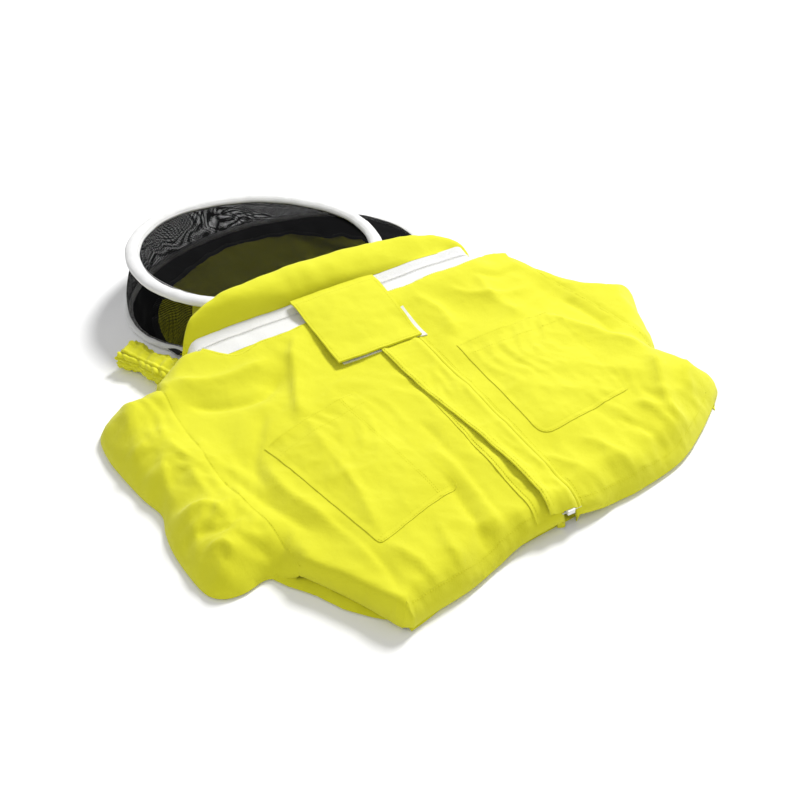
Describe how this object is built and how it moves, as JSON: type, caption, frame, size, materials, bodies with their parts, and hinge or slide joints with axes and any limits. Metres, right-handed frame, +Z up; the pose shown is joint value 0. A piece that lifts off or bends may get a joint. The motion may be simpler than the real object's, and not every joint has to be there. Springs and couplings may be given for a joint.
{
  "type": "beekeeping jacket with veil hood",
  "caption": "Zip-front beekeeping jacket laid flat, sleeves folded under, with patch pockets, elasticated waist and a zip-on hooped net veil hood thrown back.",
  "frame": {"origin": "On the surface the jacket lies on, under the middle of its back panel", "axes": "+Z up out of the chest, +Y towards the hood, +X towards the wearer's left"},
  "size_m": [0.707, 0.774, 0.0813],
  "materials": {
    "yellow_cotton": "woven cotton drill, matt",
    "white_tape": "woven tape, stitched",
    "white_elastic": "braided elastic",
    "black_net": "fine knitted veil net",
    "white_plastic": "moulded nylon coil",
    "white_metal": "enamelled die-cast zinc",
    "hoop_steel": "spring steel wire"
  },
  "bodies": {
    "jacket": {"back_panel": "yellow_cotton", "front_panel_right": "yellow_cotton", "front_panel_left": "yellow_cotton", "sleeve_right": "yellow_cotton", "sleeve_left": "yellow_cotton", "cuff_right": "yellow_cotton", "cuff_left": "yellow_cotton", "hem_band_right": "yellow_cotton", "hem_band_left": "yellow_cotton", "hem_band_back": "yellow_cotton", "pocket_right": "yellow_cotton", "pocket_left": "yellow_cotton", "placket_strip": "yellow_cotton", "storm_flap_seam": "yellow_cotton", "collar": "yellow_cotton", "neckband_front": "yellow_cotton", "neckband_back": "yellow_cotton", "front_zip_tape_right": "white_tape", "front_zip_tape_left": "white_tape", "hood_zip_tape_lower": "white_tape", "hood_zip_tape_upper": "white_tape", "loop_patch_right": "white_tape", "loop_patch_left": "white_tape", "cuff_elastic_right": "white_elastic", "cuff_elastic_left": "white_elastic", "hem_elastic_right": "white_elastic", "hem_elastic_left": "white_elastic", "hem_elastic_back": "white_elastic", "front_zip_coil_right": "white_plastic", "front_zip_coil_left": "white_plastic", "front_zip_box": "white_plastic", "hood_zip_coil_lower": "white_plastic", "hood_zip_coil_upper": "white_plastic"},
    "neck_flap_body": {"neck_flap": "yellow_cotton", "neck_flap_hooks": "white_tape"},
    "storm_flap_body": {"storm_flap": "yellow_cotton"},
    "front_slider_body": {"front_slider": "white_metal"},
    "front_pull_body": {"front_pull": "white_metal"},
    "hood_slider_right_body": {"hood_slider_right": "white_metal"},
    "hood_slider_left_body": {"hood_slider_left": "white_metal"},
    "hood_pull_right_body": {"hood_pull_right": "white_metal"},
    "hood_pull_left_body": {"hood_pull_left": "white_metal"},
    "hood": {"hood_back": "yellow_cotton", "hood_seam_tape": "black_net", "rear_hoop_binding": "white_tape", "rear_hoop_wire": "hoop_steel", "side_mesh": "black_net"},
    "veil_ring": {"ring_binding": "white_tape", "ring_wire": "hoop_steel", "face_mesh": "black_net"}
  },
  "joints": [
    {"name": "neck_flap_lift", "type": "hinge", "parent": "jacket", "child": "neck_flap_body", "pos_m": [0.0085, 0.1766, 0.057], "axis": [-1, 0, 0], "range_deg": [0, 90]},
    {"name": "storm_flap_lift", "type": "hinge", "parent": "jacket", "child": "storm_flap_body", "pos_m": [0.05504, -0.11619, 0.0389], "axis": [0.0307, 0.9995, 0], "range_deg": [0, 120]},
    {"name": "front_slider_slide", "type": "slide", "parent": "jacket", "child": "front_slider_body", "axis": [-0.0307, -0.9995, 0], "range_m": [0, 0.37]},
    {"name": "front_pull_swing", "type": "hinge", "parent": "front_slider_body", "child": "front_pull_body", "pos_m": [0.05203, 0.11201, 0.0274], "axis": [-0.9995, 0.0307, 0], "range_deg": [0, 15]},
    {"name": "hood_slider_right_slide", "type": "slide", "parent": "jacket", "child": "hood_slider_right_body", "axis": [-1, 0, 0], "range_m": [0, 0.15]},
    {"name": "hood_pull_right_swing", "type": "hinge", "parent": "hood_slider_right_body", "child": "hood_pull_right_body", "pos_m": [-0.002, 0.165, 0.0492], "axis": [0, 1, 0], "range_deg": [0, 10]},
    {"name": "hood_slider_left_slide", "type": "slide", "parent": "jacket", "child": "hood_slider_left_body", "axis": [1, 0, 0], "range_m": [0, 0.15]},
    {"name": "hood_pull_left_swing", "type": "hinge", "parent": "hood_slider_left_body", "child": "hood_pull_left_body", "pos_m": [0.022, 0.165, 0.0492], "axis": [0, -1, 0], "range_deg": [0, 10]},
    {"name": "hood_lift", "type": "hinge", "parent": "jacket", "child": "hood", "pos_m": [0, 0.224, 0.07], "axis": [1, 0, 0], "range_deg": [0, 80]},
    {"name": "ring_lift", "type": "hinge", "parent": "hood", "child": "veil_ring", "pos_m": [-0.029, 0.205, 0.057], "axis": [1, 0, 0], "range_deg": [0, 15]}
  ]
}
